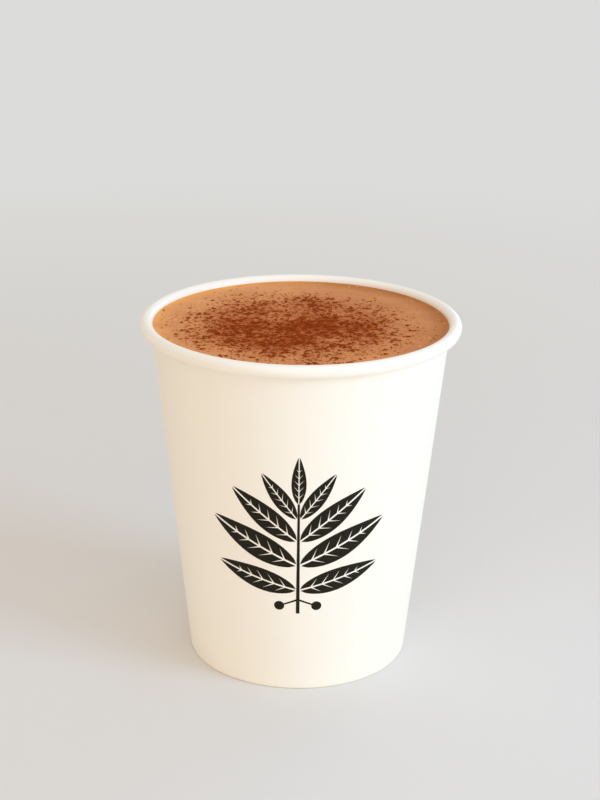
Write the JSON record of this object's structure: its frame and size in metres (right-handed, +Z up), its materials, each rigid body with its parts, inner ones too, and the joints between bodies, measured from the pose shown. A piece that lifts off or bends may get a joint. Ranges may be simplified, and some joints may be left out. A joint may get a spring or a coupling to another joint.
{
  "type": "caffe mocha",
  "caption": "Tapered round paper cup with a rolled rim and recessed base, filled almost to the rim with a foamy chocolate coffee drink.",
  "frame": {"origin": "centre of the foot, on the surface that the cup stands on", "axes": "+Z up along the cup's axis, from the foot to the rim; the printed side faces -Y and the side seam is at +Y"},
  "size_m": [0.08, 0.08, 0.089],
  "materials": {
    "cup_paper": "matte",
    "base_paper": "matte",
    "mocha_foam": "satin",
    "cocoa_powder": "matte",
    "print_ink": "matte"
  },
  "bodies": {
    "root": {"cup_wall": "cup_paper", "cup_base": "base_paper", "mocha": "mocha_foam"}
  },
  "joints": []
}
